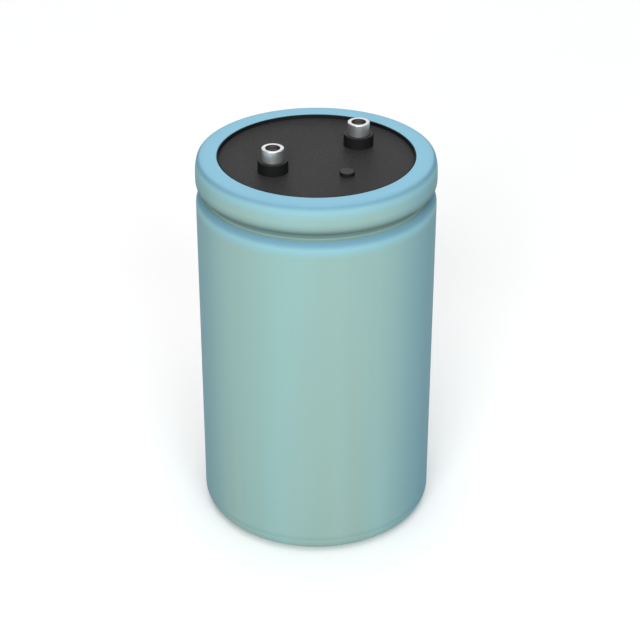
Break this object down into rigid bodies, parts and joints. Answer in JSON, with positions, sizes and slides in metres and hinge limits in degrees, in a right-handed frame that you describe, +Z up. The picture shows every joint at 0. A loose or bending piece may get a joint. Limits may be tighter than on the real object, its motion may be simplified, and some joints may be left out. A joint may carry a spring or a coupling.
{
  "type": "electrolytic capacitor",
  "caption": "Large screw-terminal electrolytic capacitor: sleeved aluminium can with a rolled groove, black moulded header and threaded posts.",
  "frame": {"origin": "middle of the foot, on the surface that the can stands on", "axes": "+Z up the can's axis, out of the terminals; X through both terminals, the positive one at +X; the vent plug lies towards -Y"},
  "size_m": [0.077, 0.077, 0.1346],
  "materials": {
    "sleeve_plastic": "satin",
    "disc_plastic": "satin",
    "can_aluminium": "satin",
    "black_rubber": "matte",
    "black_moulding": "matte",
    "terminal_aluminium": "machined",
    "tab_aluminium": "satin",
    "insulator_board": "matte",
    "winding_paper": "matte",
    "tape_film": "gloss",
    "anchor_plastic": "satin"
  },
  "bodies": {
    "root": {"sleeve": "sleeve_plastic", "end_disc": "disc_plastic", "can": "can_aluminium", "gasket": "black_rubber", "header": "black_moulding", "vent_plug": "black_rubber", "terminal_positive": "terminal_aluminium", "terminal_negative": "terminal_aluminium", "washer_positive": "tab_aluminium", "washer_negative": "tab_aluminium", "tab_positive_outer": "tab_aluminium", "tab_positive_inner": "tab_aluminium", "tab_negative_outer": "tab_aluminium", "tab_negative_inner": "tab_aluminium", "top_insulator": "insulator_board", "winding": "winding_paper", "winding_tape": "tape_film", "bottom_anchor": "anchor_plastic"}
  },
  "joints": []
}
